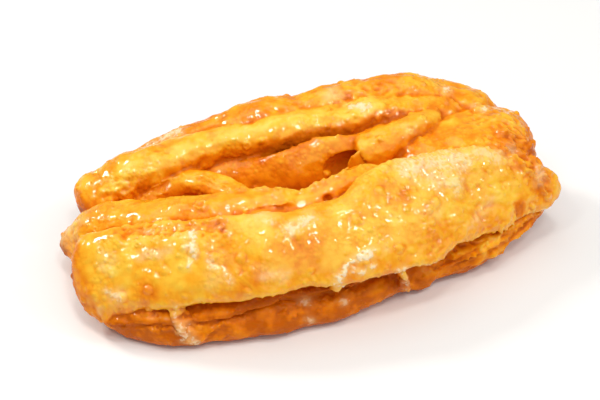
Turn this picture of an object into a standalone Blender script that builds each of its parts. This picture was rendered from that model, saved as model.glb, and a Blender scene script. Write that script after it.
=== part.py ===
"""Khaja: a deep-fried, syrup-soaked pastry of rolled dough, made as one solid that lies on its flat base.

A sheet of dough is rolled up and pressed, and in the hot fat its layers swell into long folds. Each fold
here is a loft: a flattened round section carried along a smooth path, rounded off towards both ends. The
folds overlap deeply, and one Boolean union makes them a single piece, with creases where they meet.

Frame: +X runs along the folds, +Y to the back, +Z up. The origin is the middle of the base. The numbers
here are millimetres, and the mesh is in metres.
"""

from collections import namedtuple

import bmesh
import bpy
import numpy as np
from mathutils import Matrix, Vector

MM = 0.001

# How finely each fold is lofted: sections along its path, and points round each section.
STATIONS = 26
SIDES = 16

# The most triangles that the joined folds keep, before the base is cut flat.
MOST_TRIANGLES = 10500

# How uneven the dough is: the share by which a fold's width and thickness vary along it, and how far its
# path wanders.
UNEVEN_SIZE = 0.07
UNEVEN_PATH = 0.45

# The table top that the base is cut flat on: its level in the frame of the paths, and its size.
TABLE_LEVEL = 0.0
TABLE_SIZE = 200.0

# Golden brown fried dough under a syrup glaze.
CRUST_COLOUR = (0.85, 0.42, 0.06, 1.0)
CRUST_ROUGHNESS = 0.3

# A fold is a roll or sheet of dough. path holds the points that its middle line passes through. wide and
# thick are half its width and half its thickness at those points. lean turns it about its path, in degrees,
# with its back edge up. ends are the lengths over which its two ends round off. square is 2 for an oval
# section and more for a fuller one. edge makes its front edge thinner and its back edge thicker by that
# share.
Fold = namedtuple("Fold", "name path wide thick lean ends square edge")


def fold(name, path, wide, thick, lean=0.0, ends=(8, 8), square=2.2, edge=0.0):
    """A Fold whose width, thickness and lean may each be one number, or one for each point of the path."""
    each = [np.full(len(path), v, float) if np.isscalar(v) else np.array(v, float) for v in (wide, thick, lean)]
    return Fold(name, np.array(path, float), *each, ends, square, edge)


# The mass of dough that the folds lie on, and the rounded shoulder where they run together.
BODY = [
    fold("core", [(-50, 0, 7), (-26, -1, 6), (4, -1, 6), (30, -1, 7), (53, -4, 11)],
         wide=(14, 21, 22, 20, 12), thick=(7, 7.5, 7.5, 7.5, 6), ends=(12, 10), square=2.8),
    fold("padding", [(-45, -8, 9), (-20, -13, 12), (10, -13, 14), (46, -9, 12)],
         wide=(8, 10, 9, 9), thick=(6, 7.5, 7.5, 7)),
    fold("shoulder", [(17, -4, 14), (31, -2, 15.5), (43.5, 0, 15), (55, -3.5, 12)],
         wide=(6, 12, 14.3, 10.5), thick=(4, 7.5, 9, 7), ends=(10, 8), square=2.3),
]

# The broad outer flap along the front, and the layers that show below its free edge.
FRONT = [
    fold("flap", [(-52.5, -10, 8), (-36, -15.5, 14.3), (-14, -22.3, 17.6), (5.5, -22.5, 18.2),
                  (17, -19.9, 19), (33, -14.8, 18), (46, -13, 15), (56.5, -13.2, 11)],
         wide=(9, 9.4, 8.6, 9.2, 11.5, 10.2, 7.2, 3.4), thick=(4.2, 4, 3.6, 3.4, 3.4, 3.2, 2.7, 2.2),
         lean=(42, 32, 34, 33, 34, 38, 42, 38), ends=(6.5, 3), square=2.3, edge=0.25),
    fold("bottom_sheet", [(-48, -14, 4.5), (-30, -22, 3.5), (-6, -24, 4), (26, -19.5, 4)],
         wide=(6, 6, 6, 5), thick=(3.5, 4, 4, 3.5), lean=8, ends=(8, 6)),
    fold("inner_sheet", [(-50, -12, 5.5), (-38, -19.5, 7.5), (-24, -22.5, 9), (-8, -21, 11)],
         wide=5.5, thick=1.3, lean=14, ends=(8, 9)),
    fold("middle_sheet", [(-20, -20, 8.5), (0, -22, 9.3), (20, -19.5, 9)],
         wide=5, thick=1.4, lean=10, ends=(9, 9)),
    fold("right_sheet", [(18, -19, 4.5), (36, -16.5, 6), (54, -8, 10)],
         wide=6, thick=(3.5, 4, 3.5), lean=18, ends=(5, 6)),
    fold("right_leaf", [(22, -19, 8), (38, -17.4, 9.3), (53, -10, 12)],
         wide=4.6, thick=1.2, lean=26, ends=(6, 6)),
    fold("low_leaf", [(24, -18.8, 5.2), (39, -17, 6.6), (53, -9.4, 10.3)],
         wide=5, thick=1.1, lean=20, ends=(6, 6)),
]

# The rolls between the flap and the open valley, and the sheet and roll that stand in the valley.
VALLEY = [
    fold("mid_roll", [(-49.8, 0.5, 3.5), (-45, 2, 11.6), (-33, -3.5, 15.5), (-22, -6.8, 17.4),
                      (-14, -7.2, 17.8), (-7, -9.2, 18.6), (0, -11, 19)],
         wide=(7, 6, 5, 4.6, 4.2, 3.6, 3), thick=(5, 4.6, 4.4, 4.2, 4, 3.6, 3), ends=(5, 6)),
    fold("small_roll", [(-10, -13.5, 18), (-2.5, -10.8, 19.4), (4.5, -9.8, 20.2), (11, -8, 20.8),
                        (17, -7, 20.5)],
         wide=(2.4, 2.8, 2.9, 2.8, 2.4), thick=(2.4, 2.8, 2.9, 2.8, 2.4), ends=(5, 5)),
    fold("arch_roll", [(-41, 6.5, 8.5), (-36, 7.6, 10.6), (-32, 8.6, 12.2), (-28, 8.9, 13.4),
                       (-24.6, 8, 14.5), (-20.7, 5.5, 15.2), (-16.5, 1.5, 15.5), (-12, -4, 16)],
         wide=3.5, thick=(3, 3.2, 3.3, 3.2, 3.2, 3.1, 3, 2.6), lean=15, ends=(4, 5)),
    fold("valley_wall", [(-21, 8.6, 11.4), (-16, 8.3, 12.6), (-10.6, 6.2, 13.3), (-5.7, 4.2, 14.3),
                         (0, 2.9, 16.1), (8, 2.8, 17.4), (14, 2.7, 17.8), (20, 2.5, 17.5)],
         wide=(5, 5.7, 6, 6, 6, 6, 5.6, 5), thick=(2.6, 2.4, 2.2, 2, 1.9, 1.7, 1.7, 2),
         lean=(46, 50, 53, 56, 62, 64, 62, 60), ends=(5, 6)),
    fold("valley_roll", [(13, 3.2, 18.3), (19.5, 3, 19.8), (26, 3.9, 21.3), (31, 5.4, 22.2), (37.5, 10, 22.8)],
         wide=(4.2, 4.5, 3.7, 3.2, 1.5), thick=(4.2, 4.4, 3.6, 3, 1.6), ends=(2.5, 5)),
]

# The rolls along the back, and the layer edges down the back face.
BACK = [
    fold("back_roll", [(-48, 13.5, 8), (-36, 13.5, 14), (-25, 14, 16.8), (-15, 14.6, 18.7), (5, 12.8, 20),
                       (24, 11.5, 21), (45, 9, 19)],
         wide=(6.5, 6, 5.2, 4.4, 4.9, 5.3, 5), thick=(6, 5.6, 5, 4.3, 4.8, 5.2, 4.5), ends=(6, 10)),
    fold("rear_roll", [(-42, 16.5, 9.5), (-24, 19, 15), (-5, 19, 19.8), (12, 17, 20)],
         wide=5, thick=5, ends=(8, 9)),
    fold("crest_roll", [(-6, 17, 19), (12, 18.5, 21), (32, 16.5, 21.7), (50, 7, 17.5)],
         wide=(4, 5, 5.5, 6), thick=(4.5, 5, 4.8, 5), ends=(10, 8)),
    fold("crest_pleat", [(4, 15, 22), (20, 14.5, 23), (38, 12.5, 22.5)],
         wide=(2, 2.8, 2.4), thick=(2, 2.6, 2.4)),
    fold("back_sheet_low", [(-46, 17, 5), (-20, 22, 5.5), (15, 21.5, 5.5), (48, 11, 8)],
         wide=5.5, thick=(4, 4.5, 4.5, 4), ends=(9, 9)),
    fold("back_sheet_mid", [(-44, 17, 9), (-18, 22, 11), (15, 21, 12), (49, 9, 12)],
         wide=5.5, thick=(2.2, 2.4, 2.4, 2.2), lean=-8, ends=(9, 9)),
    fold("back_sheet_high", [(-38, 17, 13), (-12, 21, 15.5), (18, 20, 17), (48, 8, 15.5)],
         wide=4.5, thick=2.4, lean=-14, ends=(9, 9)),
]

FOLDS = BODY + FRONT + VALLEY + BACK

# The torn mouth at the left end of the valley roll: an egg-shaped hollow, by its middle and its half sizes.
TEAR_MIDDLE = (10.6, 0.5, 18.6)
TEAR_SIZE = (6.0, 2.9, 3.2)
TEAR_SEGMENTS = 14
TEAR_RINGS = 8


def along(values, share):
    """Values at evenly spaced points, read at each share of the way by a smooth curve through them.

    It is the Catmull-Rom cubic: the slope at a value is half the step between its two neighbours.
    """
    last = len(values) - 1
    place = np.clip(share, 0, 1) * last
    left = np.minimum(place.astype(int), last - 1)
    t = (place - left).reshape((-1,) + (1,) * (values.ndim - 1))
    start, end = values[left], values[left + 1]
    slope_in = (end - values[np.maximum(left - 1, 0)]) / 2
    slope_out = (values[np.minimum(left + 2, last)] - start) / 2
    return (
        (2 * t**3 - 3 * t**2 + 1) * start
        + (t**3 - 2 * t**2 + t) * slope_in
        + (3 * t**2 - 2 * t**3) * end
        + (t**3 - t**2) * slope_out
    )


def unit(vectors):
    return vectors / np.linalg.norm(vectors, axis=-1, keepdims=True)


def ripple(run, phase):
    """An uneven wave between about -1 and 1 along a run in millimetres: three sines of unlike lengths."""
    long_wave = np.sin(run / 5.3 + phase)
    middle_wave = 0.7 * np.sin(run / 2.9 + 2.3 * phase)
    short_wave = 0.5 * np.sin(run / 1.7 + 4.1 * phase)
    return (long_wave + middle_wave + short_wave) / 2.2


def fold_surface(shape, stations, sides):
    """The fold's sections: stations x sides points. The first and the last section are single points.

    At each station the section is a superellipse in the plane across the path. Its size is the fold's own,
    times a quarter-ellipse that falls to nothing over the length of each end. A ripple makes the path and
    the size uneven.
    """
    share = (1 - np.cos(np.linspace(0, np.pi, stations))) / 2
    middle = along(shape.path, share)
    run = np.concatenate([[0], np.cumsum(np.linalg.norm(np.diff(middle, axis=0), axis=1))])
    phase = sum(map(ord, shape.name)) % 17
    middle[:, 1] += UNEVEN_PATH * ripple(run, phase + 1)
    middle[:, 2] += UNEVEN_PATH * ripple(run, phase + 2)
    forward = unit(np.gradient(middle, axis=0))
    back = unit(np.cross((0, 0, 1), forward))
    up = np.cross(forward, back)
    lean = np.radians(along(shape.lean, share))[:, None]
    across = back * np.cos(lean) + up * np.sin(lean)
    rise = up * np.cos(lean) - back * np.sin(lean)
    size = np.ones(stations)
    for distance, length in zip((run, run[-1] - run), shape.ends):
        size *= np.sqrt(1 - (1 - np.clip(distance / length, 0, 1)) ** 2)
    wide = along(shape.wide, share) * size * (1 + UNEVEN_SIZE * ripple(run, phase + 3))
    thick = along(shape.thick, share) * size * (1 + UNEVEN_SIZE * ripple(run, phase + 4))
    turn = np.linspace(0, 2 * np.pi, sides, endpoint=False)
    power = 2 / shape.square
    round_x = np.sign(np.cos(turn)) * np.abs(np.cos(turn)) ** power
    round_y = np.sign(np.sin(turn)) * np.abs(np.sin(turn)) ** power * (1 + shape.edge * round_x)
    return (
        middle[:, None]
        + across[:, None] * (wide[:, None] * round_x)[..., None]
        + rise[:, None] * (thick[:, None] * round_y)[..., None]
    )


def loft(name, sections, collection):
    """A closed mesh object skinned over the sections, with a fan of triangles to the point at each end."""
    bm = bmesh.new()
    first = bm.verts.new(sections[0, 0] * MM)
    last = bm.verts.new(sections[-1, 0] * MM)
    rings = [[bm.verts.new(point * MM) for point in section] for section in sections[1:-1]]
    sides = len(rings[0])
    for side in range(sides):
        beside = (side + 1) % sides
        bm.faces.new((first, rings[0][beside], rings[0][side]))
        bm.faces.new((last, rings[-1][side], rings[-1][beside]))
        for ring, following in zip(rings, rings[1:]):
            bm.faces.new((ring[side], ring[beside], following[beside], following[side]))
    bmesh.ops.recalc_face_normals(bm, faces=bm.faces)
    return new_object(name, bm, collection)


def new_object(name, bm, collection):
    mesh = bpy.data.meshes.new(name)
    bm.to_mesh(mesh)
    bm.free()
    made = bpy.data.objects.new(name, mesh)
    collection.objects.link(made)
    return made


def new_collection(name):
    made = bpy.data.collections.new(name)
    bpy.context.scene.collection.children.link(made)
    return made


def remove_all(objects):
    for unwanted in list(objects):
        bpy.data.objects.remove(unwanted)


def apply_modifiers(target):
    """Replaces the object's mesh by what its modifiers make of it."""
    graph = bpy.context.evaluated_depsgraph_get()
    finished = bpy.data.meshes.new_from_object(target.evaluated_get(graph))
    target.modifiers.clear()
    target.data = finished


def join_folds(body, others):
    """One Boolean union of the body with every fold in the other collection, which is then emptied."""
    union = body.modifiers.new("join the folds", "BOOLEAN")
    union.operation = "UNION"
    union.operand_type = "COLLECTION"
    union.collection = others
    union.solver = "EXACT"
    apply_modifiers(body)
    remove_all(others.objects)


def cut_away(body, cutter):
    cut = body.modifiers.new("cut", "BOOLEAN")
    cut.operation = "DIFFERENCE"
    cut.object = cutter
    cut.solver = "EXACT"
    apply_modifiers(body)
    bpy.data.objects.remove(cutter)


def thin_out(body, most):
    """Merges the smallest triangles until no more than this many are left."""
    body.data.calc_loop_triangles()
    count = len(body.data.loop_triangles)
    if count > most:
        body.modifiers.new("make triangles", "TRIANGULATE")
        fewer = body.modifiers.new("thin out", "DECIMATE")
        fewer.ratio = most / count
        apply_modifiers(body)


def keep_outer_skin(body):
    """Keeps the largest of the mesh's separate skins, without sealed hollows between folds or loose scraps."""
    bm = bmesh.new()
    bm.from_mesh(body.data)
    unseen = set(bm.verts)
    skins = []
    while unseen:
        front = [unseen.pop()]
        skin = set(front)
        while front:
            near = {edge.other_vert(vert) for vert in front for edge in vert.link_edges}
            front = list(near & unseen)
            unseen -= near
            skin |= set(front)
        skins.append(skin)
    skins.sort(key=len)
    for skin in skins[:-1]:
        bmesh.ops.delete(bm, geom=list(skin), context="VERTS")
    bm.to_mesh(body.data)
    bm.free()


def egg_cutter(middle, size, collection):
    bm = bmesh.new()
    place = Matrix.Translation(Vector(middle) * MM) @ Matrix.Diagonal(Vector(size) * MM).to_4x4()
    bmesh.ops.create_uvsphere(bm, u_segments=TEAR_SEGMENTS, v_segments=TEAR_RINGS, radius=1, matrix=place)
    return new_object("torn mouth", bm, collection)


def table_cutter(level, size, collection):
    bm = bmesh.new()
    middle = Vector((0, 0, level - size / 2)) * MM
    bmesh.ops.create_cube(bm, size=size * MM, matrix=Matrix.Translation(middle))
    return new_object("table", bm, collection)


def centre_on_base(body):
    """Moves the mesh so that the origin is the middle of its base."""
    corners = np.array([vert.co for vert in body.data.vertices])
    low, high = corners.min(0), corners.max(0)
    body.data.transform(Matrix.Translation((-(low[0] + high[0]) / 2, -(low[1] + high[1]) / 2, -low[2])))
    return high - low


def crust_material():
    material = bpy.data.materials.new("fried dough")
    material.use_nodes = True
    shader = material.node_tree.nodes["Principled BSDF"]
    shader.inputs["Base Color"].default_value = CRUST_COLOUR
    shader.inputs["Roughness"].default_value = CRUST_ROUGHNESS
    shader.inputs["Metallic"].default_value = 0.0
    return material


def make_khaja():
    remove_all(bpy.data.objects)
    finished = new_collection("khaja")
    others = new_collection("folds and cutters")
    body = loft("khaja", fold_surface(FOLDS[0], STATIONS, SIDES), finished)
    for shape in FOLDS[1:]:
        loft(shape.name, fold_surface(shape, STATIONS, SIDES), others)
    join_folds(body, others)
    keep_outer_skin(body)
    cut_away(body, egg_cutter(TEAR_MIDDLE, TEAR_SIZE, others))
    thin_out(body, MOST_TRIANGLES)
    cut_away(body, table_cutter(TABLE_LEVEL, TABLE_SIZE, others))
    keep_outer_skin(body)
    size = centre_on_base(body)
    body.data.materials.clear()
    body.data.materials.append(crust_material())
    body.data.calc_loop_triangles()
    print("khaja, mm:", np.round(size / MM, 1), "triangles:", len(body.data.loop_triangles))
    return body


if __name__ == "__main__":
    make_khaja()
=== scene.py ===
# %% [markdown]
# # A glazed khaja
# A khaja is a strip of dough, rolled up, pressed and deep fried, then dipped in sugar syrup. In the hot fat its
# layers puff into long folds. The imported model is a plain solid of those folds. This lesson dresses it: a fine
# crust with blisters and creases, dried sugar, and a glossy glaze, under soft studio light.

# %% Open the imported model
from collections import namedtuple
from math import cos, radians, sin

import bpy
import numpy as np
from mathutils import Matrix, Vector


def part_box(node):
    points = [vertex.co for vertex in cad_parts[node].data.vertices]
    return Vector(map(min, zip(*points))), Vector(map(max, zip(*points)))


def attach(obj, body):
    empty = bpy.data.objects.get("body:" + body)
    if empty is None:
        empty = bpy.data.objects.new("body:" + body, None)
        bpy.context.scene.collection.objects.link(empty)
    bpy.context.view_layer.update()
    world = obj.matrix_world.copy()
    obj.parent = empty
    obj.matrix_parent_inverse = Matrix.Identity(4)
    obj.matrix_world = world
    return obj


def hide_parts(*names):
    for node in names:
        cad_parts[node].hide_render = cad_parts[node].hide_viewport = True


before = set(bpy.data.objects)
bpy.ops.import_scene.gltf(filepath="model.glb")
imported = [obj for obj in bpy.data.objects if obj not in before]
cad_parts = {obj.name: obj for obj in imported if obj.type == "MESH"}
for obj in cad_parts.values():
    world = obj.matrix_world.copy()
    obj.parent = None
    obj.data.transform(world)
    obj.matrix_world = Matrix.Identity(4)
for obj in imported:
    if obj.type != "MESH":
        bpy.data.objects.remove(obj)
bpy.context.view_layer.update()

MM = 0.001

# %% [markdown]
# ## The camera
# Food is often shown from about 40 degrees above the table, turned a little off the long side, so that top,
# front and one end all show. A long lens keeps the shape honest. The direction comes from two angles, and the
# camera sits that way from the middle of the pastry.

# %% Place the camera
CAMERA_TURN = radians(16)
CAMERA_DIP = radians(40)
CAMERA_DISTANCE = 280 * MM
CAMERA_LENS = 75
LOOK_AT = Vector((-1.8, 1.25, 11)) * MM


def point_at(thing, place, target):
    """Puts an object somewhere and turns its -Z axis to the target, with its +Y axis up."""
    thing.location = place
    thing.rotation_euler = (Vector(target) - Vector(place)).to_track_quat("-Z", "Y").to_euler()


view_line = Vector((sin(CAMERA_TURN) * cos(CAMERA_DIP), cos(CAMERA_TURN) * cos(CAMERA_DIP), -sin(CAMERA_DIP)))
camera_data = bpy.data.cameras.new("camera")
camera_data.lens = CAMERA_LENS
camera = bpy.data.objects.new("camera", camera_data)
bpy.context.scene.collection.objects.link(camera)
point_at(camera, LOOK_AT - view_line * CAMERA_DISTANCE, LOOK_AT)
bpy.context.scene.camera = camera
print("camera at, mm:", [round(part / MM) for part in camera.location])

# %% [markdown]
# ## The folds
# Every fold is a flattened round section carried along a smooth path. The table below says where each path runs
# and how wide and thick the fold is along it, in millimetres, in the same way as the solid's own source does.
# The finished crust grows from these smooth shapes, so that it keeps the form of the solid.

# %% Describe the folds
UNEVEN_SIZE = 0.07
UNEVEN_PATH = 0.45

Fold = namedtuple("Fold", "name path wide thick lean ends square edge")


def fold(name, path, wide, thick, lean=0.0, ends=(8, 8), square=2.2, edge=0.0):
    """A Fold whose width, thickness and lean may each be one number, or one for each point of the path."""
    each = [np.full(len(path), v, float) if np.isscalar(v) else np.array(v, float) for v in (wide, thick, lean)]
    return Fold(name, np.array(path, float), *each, ends, square, edge)


BODY = [
    fold("core", [(-50, 0, 7), (-26, -1, 6), (4, -1, 6), (30, -1, 7), (53, -4, 11)],
         wide=(14, 21, 22, 20, 12), thick=(7, 7.5, 7.5, 7.5, 6), ends=(12, 10), square=2.8),
    fold("padding", [(-45, -8, 9), (-20, -13, 12), (10, -13, 14), (46, -9, 12)],
         wide=(8, 10, 9, 9), thick=(6, 7.5, 7.5, 7)),
    fold("shoulder", [(17, -4, 14), (31, -2, 15.5), (43.5, 0, 15), (55, -3.5, 12)],
         wide=(6, 12, 14.3, 10.5), thick=(4, 7.5, 9, 7), ends=(10, 8), square=2.3),
]
FRONT = [
    fold("flap", [(-52.5, -10, 8), (-36, -15.5, 14.3), (-14, -22.3, 17.6), (5.5, -22.5, 18.2),
                  (17, -19.9, 19), (33, -14.8, 18), (46, -13, 15), (56.5, -13.2, 11)],
         wide=(9, 9.4, 8.6, 9.2, 11.5, 10.2, 7.2, 3.4), thick=(4.2, 4, 3.6, 3.4, 3.4, 3.2, 2.7, 2.2),
         lean=(42, 32, 34, 33, 34, 38, 42, 38), ends=(6.5, 3), square=2.3, edge=0.25),
    fold("bottom_sheet", [(-48, -14, 4.5), (-30, -22, 3.5), (-6, -24, 4), (26, -19.5, 4)],
         wide=(6, 6, 6, 5), thick=(3.5, 4, 4, 3.5), lean=8, ends=(8, 6)),
    fold("inner_sheet", [(-50, -12, 5.5), (-38, -19.5, 7.5), (-24, -22.5, 9), (-8, -21, 11)],
         wide=5.5, thick=1.3, lean=14, ends=(8, 9)),
    fold("middle_sheet", [(-20, -20, 8.5), (0, -22, 9.3), (20, -19.5, 9)],
         wide=5, thick=1.4, lean=10, ends=(9, 9)),
    fold("right_sheet", [(18, -19, 4.5), (36, -16.5, 6), (54, -8, 10)],
         wide=6, thick=(3.5, 4, 3.5), lean=18, ends=(5, 6)),
    fold("right_leaf", [(22, -19, 8), (38, -17.4, 9.3), (53, -10, 12)],
         wide=4.6, thick=1.2, lean=26, ends=(6, 6)),
    fold("low_leaf", [(24, -18.8, 5.2), (39, -17, 6.6), (53, -9.4, 10.3)],
         wide=5, thick=1.1, lean=20, ends=(6, 6)),
]
VALLEY = [
    fold("mid_roll", [(-49.8, 0.5, 3.5), (-45, 2, 11.6), (-33, -3.5, 15.5), (-22, -6.8, 17.4),
                      (-14, -7.2, 17.8), (-7, -9.2, 18.6), (0, -11, 19)],
         wide=(7, 6, 5, 4.6, 4.2, 3.6, 3), thick=(5, 4.6, 4.4, 4.2, 4, 3.6, 3), ends=(5, 6)),
    fold("small_roll", [(-10, -13.5, 18), (-2.5, -10.8, 19.4), (4.5, -9.8, 20.2), (11, -8, 20.8),
                        (17, -7, 20.5)],
         wide=(2.4, 2.8, 2.9, 2.8, 2.4), thick=(2.4, 2.8, 2.9, 2.8, 2.4), ends=(5, 5)),
    fold("arch_roll", [(-41, 6.5, 8.5), (-36, 7.6, 10.6), (-32, 8.6, 12.2), (-28, 8.9, 13.4),
                       (-24.6, 8, 14.5), (-20.7, 5.5, 15.2), (-16.5, 1.5, 15.5), (-12, -4, 16)],
         wide=3.5, thick=(3, 3.2, 3.3, 3.2, 3.2, 3.1, 3, 2.6), lean=15, ends=(4, 5)),
    fold("valley_wall", [(-21, 8.6, 11.4), (-16, 8.3, 12.6), (-10.6, 6.2, 13.3), (-5.7, 4.2, 14.3),
                         (0, 2.9, 16.1), (8, 2.8, 17.4), (14, 2.7, 17.8), (20, 2.5, 17.5)],
         wide=(5, 5.7, 6, 6, 6, 6, 5.6, 5), thick=(2.6, 2.4, 2.2, 2, 1.9, 1.7, 1.7, 2),
         lean=(46, 50, 53, 56, 62, 64, 62, 60), ends=(5, 6)),
    fold("valley_roll", [(13, 3.2, 18.3), (19.5, 3, 19.8), (26, 3.9, 21.3), (31, 5.4, 22.2), (37.5, 10, 22.8)],
         wide=(4.2, 4.5, 3.7, 3.2, 1.5), thick=(4.2, 4.4, 3.6, 3, 1.6), ends=(2.5, 5)),
]
BACK = [
    fold("back_roll", [(-48, 13.5, 8), (-36, 13.5, 14), (-25, 14, 16.8), (-15, 14.6, 18.7), (5, 12.8, 20),
                       (24, 11.5, 21), (45, 9, 19)],
         wide=(6.5, 6, 5.2, 4.4, 4.9, 5.3, 5), thick=(6, 5.6, 5, 4.3, 4.8, 5.2, 4.5), ends=(6, 10)),
    fold("rear_roll", [(-42, 16.5, 9.5), (-24, 19, 15), (-5, 19, 19.8), (12, 17, 20)],
         wide=5, thick=5, ends=(8, 9)),
    fold("crest_roll", [(-6, 17, 19), (12, 18.5, 21), (32, 16.5, 21.7), (50, 7, 17.5)],
         wide=(4, 5, 5.5, 6), thick=(4.5, 5, 4.8, 5), ends=(10, 8)),
    fold("crest_pleat", [(4, 15, 22), (20, 14.5, 23), (38, 12.5, 22.5)],
         wide=(2, 2.8, 2.4), thick=(2, 2.6, 2.4)),
    fold("back_sheet_low", [(-46, 17, 5), (-20, 22, 5.5), (15, 21.5, 5.5), (48, 11, 8)],
         wide=5.5, thick=(4, 4.5, 4.5, 4), ends=(9, 9)),
    fold("back_sheet_mid", [(-44, 17, 9), (-18, 22, 11), (15, 21, 12), (49, 9, 12)],
         wide=5.5, thick=(2.2, 2.4, 2.4, 2.2), lean=-8, ends=(9, 9)),
    fold("back_sheet_high", [(-38, 17, 13), (-12, 21, 15.5), (18, 20, 17), (48, 8, 15.5)],
         wide=4.5, thick=2.4, lean=-14, ends=(9, 9)),
]
FOLDS = BODY + FRONT + VALLEY + BACK

# Syrup that ran off the flap's lip and set.
DRIPS = [
    fold("right_drip", [(13, -28.9, 12.6), (14.4, -28.1, 9.5), (15.2, -26.8, 5.8), (15.9, -25.6, 2.6)],
         wide=(1.6, 1.0, 1.3, 1.0), thick=(0.9, 0.6, 0.7, 0.6), ends=(1.5, 2)),
    fold("middle_drip", [(-1.5, -29.6, 13.2), (-0.8, -29, 10.8), (-0.4, -28, 8.6)],
         wide=(1.8, 0.9, 0.7), thick=(0.9, 0.6, 0.5), ends=(1.5, 2)),
    fold("left_drip", [(-33.4, -24.4, 9.8), (-33, -25.8, 6.5), (-31.6, -26.8, 3)],
         wide=(2.4, 1.7, 2.0), thick=(0.5, 0.6, 0.8), ends=(1.5, 2)),
]

# The torn mouth at the left end of the valley roll, as the fold of air that is taken away there.
TORN_MOUTH = fold("torn_mouth", [(4.6, 0.5, 18.6), (16.6, 0.5, 18.6)], wide=2.9, thick=3.2, ends=(6, 6))

# The thin skin that still closes part of the mouth, and a tongue of it that hangs loose.
SHREDS = [
    fold("torn_skin", [(10.8, -0.4, 18.3), (12.6, -0.5, 18.6), (15.4, 0.2, 19)],
         wide=(1.5, 2.7, 3.6), thick=(0.35, 0.4, 0.6), lean=76, ends=(0.8, 1)),
    fold("torn_tongue", [(8.8, -1.2, 17.6), (10.6, -0.9, 17.9), (13.4, -0.4, 18.2)],
         wide=(0.5, 0.8, 1.2), thick=(0.25, 0.3, 0.4), lean=60, ends=(1.5, 1)),
]
print("folds:", len(FOLDS), "drips:", len(DRIPS), "shreds:", len(SHREDS))

# %% [markdown]
# ## From path to surface
# A smooth curve through the path's points gives the middle line. Across it, each section is a superellipse, a
# shape between an ellipse and a rounded box. It shrinks along a quarter ellipse towards both ends, and sums of
# sines make the path and the size uneven, because no roll of dough is a perfect tube.

# %% Work out a fold's surface
FoldFrame = namedtuple("FoldFrame", "middle across rise wide thick run")


def along(values, share):
    """Values at even steps, read at each share of the way: the Catmull-Rom cubic, whose slope at a value is
    half the step between its two neighbours."""
    last = len(values) - 1
    place = np.clip(share, 0, 1) * last
    left = np.minimum(place.astype(int), last - 1)
    t = (place - left).reshape((-1,) + (1,) * (values.ndim - 1))
    start, end = values[left], values[left + 1]
    slope_in = (end - values[np.maximum(left - 1, 0)]) / 2
    slope_out = (values[np.minimum(left + 2, last)] - start) / 2
    return (
        (2 * t**3 - 3 * t**2 + 1) * start
        + (t**3 - 2 * t**2 + t) * slope_in
        + (3 * t**2 - 2 * t**3) * end
        + (t**3 - t**2) * slope_out
    )


def unit(vectors):
    return vectors / np.linalg.norm(vectors, axis=-1, keepdims=True)


def ripple(run, phase):
    """An uneven wave between about -1 and 1 along a run in millimetres: three sines of unlike lengths."""
    long_wave = np.sin(run / 5.3 + phase)
    middle_wave = 0.7 * np.sin(run / 2.9 + 2.3 * phase)
    short_wave = 0.5 * np.sin(run / 1.7 + 4.1 * phase)
    return (long_wave + middle_wave + short_wave) / 2.2


def fold_frame(shape, stations):
    """At each station along the path: its middle, the unit vectors across the fold and up from it, its half
    width and half thickness, and the length run so far."""
    share = (1 - np.cos(np.linspace(0, np.pi, stations))) / 2
    middle = along(shape.path, share)
    run = np.concatenate([[0], np.cumsum(np.linalg.norm(np.diff(middle, axis=0), axis=1))])
    phase = sum(map(ord, shape.name)) % 17
    middle[:, 1] += UNEVEN_PATH * ripple(run, phase + 1)
    middle[:, 2] += UNEVEN_PATH * ripple(run, phase + 2)
    forward = unit(np.gradient(middle, axis=0))
    back = unit(np.cross((0, 0, 1), forward))
    up = np.cross(forward, back)
    lean = np.radians(along(shape.lean, share))[:, None]
    across = back * np.cos(lean) + up * np.sin(lean)
    rise = up * np.cos(lean) - back * np.sin(lean)
    size = np.ones(stations)
    for distance, length in zip((run, run[-1] - run), shape.ends):
        size *= np.sqrt(1 - (1 - np.clip(distance / length, 0, 1)) ** 2)
    wide = along(shape.wide, share) * size * (1 + UNEVEN_SIZE * ripple(run, phase + 3))
    thick = along(shape.thick, share) * size * (1 + UNEVEN_SIZE * ripple(run, phase + 4))
    return FoldFrame(middle, across, rise, wide, thick, run)


def fold_surface(shape, stations, sides):
    """Sections x points. A point is middle + wide * round_x * across + thick * round_y * rise, where round_x
    and round_y are the cosine and sine of a turn, each raised to the power 2 / square with its sign kept."""
    place = fold_frame(shape, stations)
    turn = np.linspace(0, 2 * np.pi, sides, endpoint=False)
    power = 2 / shape.square
    round_x = np.sign(np.cos(turn)) * np.abs(np.cos(turn)) ** power
    round_y = np.sign(np.sin(turn)) * np.abs(np.sin(turn)) ** power * (1 + shape.edge * round_x)
    return (
        place.middle[:, None]
        + place.across[:, None] * (place.wide[:, None] * round_x)[..., None]
        + place.rise[:, None] * (place.thick[:, None] * round_y)[..., None]
    )


def closed_tube(grid):
    """Points and faces of a tube over the sections, whose first and last sections are each one point."""
    stations, sides = grid.shape[:2]
    rings = stations - 2
    points = np.concatenate([grid[1:-1].reshape(-1, 3), grid[:1, 0], grid[-1:, 0]])
    ring = np.arange(rings - 1)[:, None] * sides
    side = np.arange(sides)
    beside = (side + 1) % sides
    walls = np.stack([ring + side, ring + beside, ring + sides + beside, ring + sides + side], axis=-1)
    far_ring = (rings - 1) * sides
    near_cap = np.stack([np.full(sides, rings * sides), beside, side], axis=-1)
    far_cap = np.stack([np.full(sides, rings * sides + 1), far_ring + side, far_ring + beside], axis=-1)
    return points, walls.reshape(-1, 4).tolist() + near_cap.tolist() + far_cap.tolist()


print("a section of the flap has", fold_surface(FRONT[0], 10, 8).shape[1], "points")

# %% [markdown]
# ## One skin over all the folds
# The smooth folds overlap. A voxel remesh lays one even skin of small squares over their outside, which joins
# them and gives the creases between them. Booleans then take away the torn mouth of one roll, add the thin skin
# that is left of it, and cut off everything below the table, which leaves the base flat.

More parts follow.
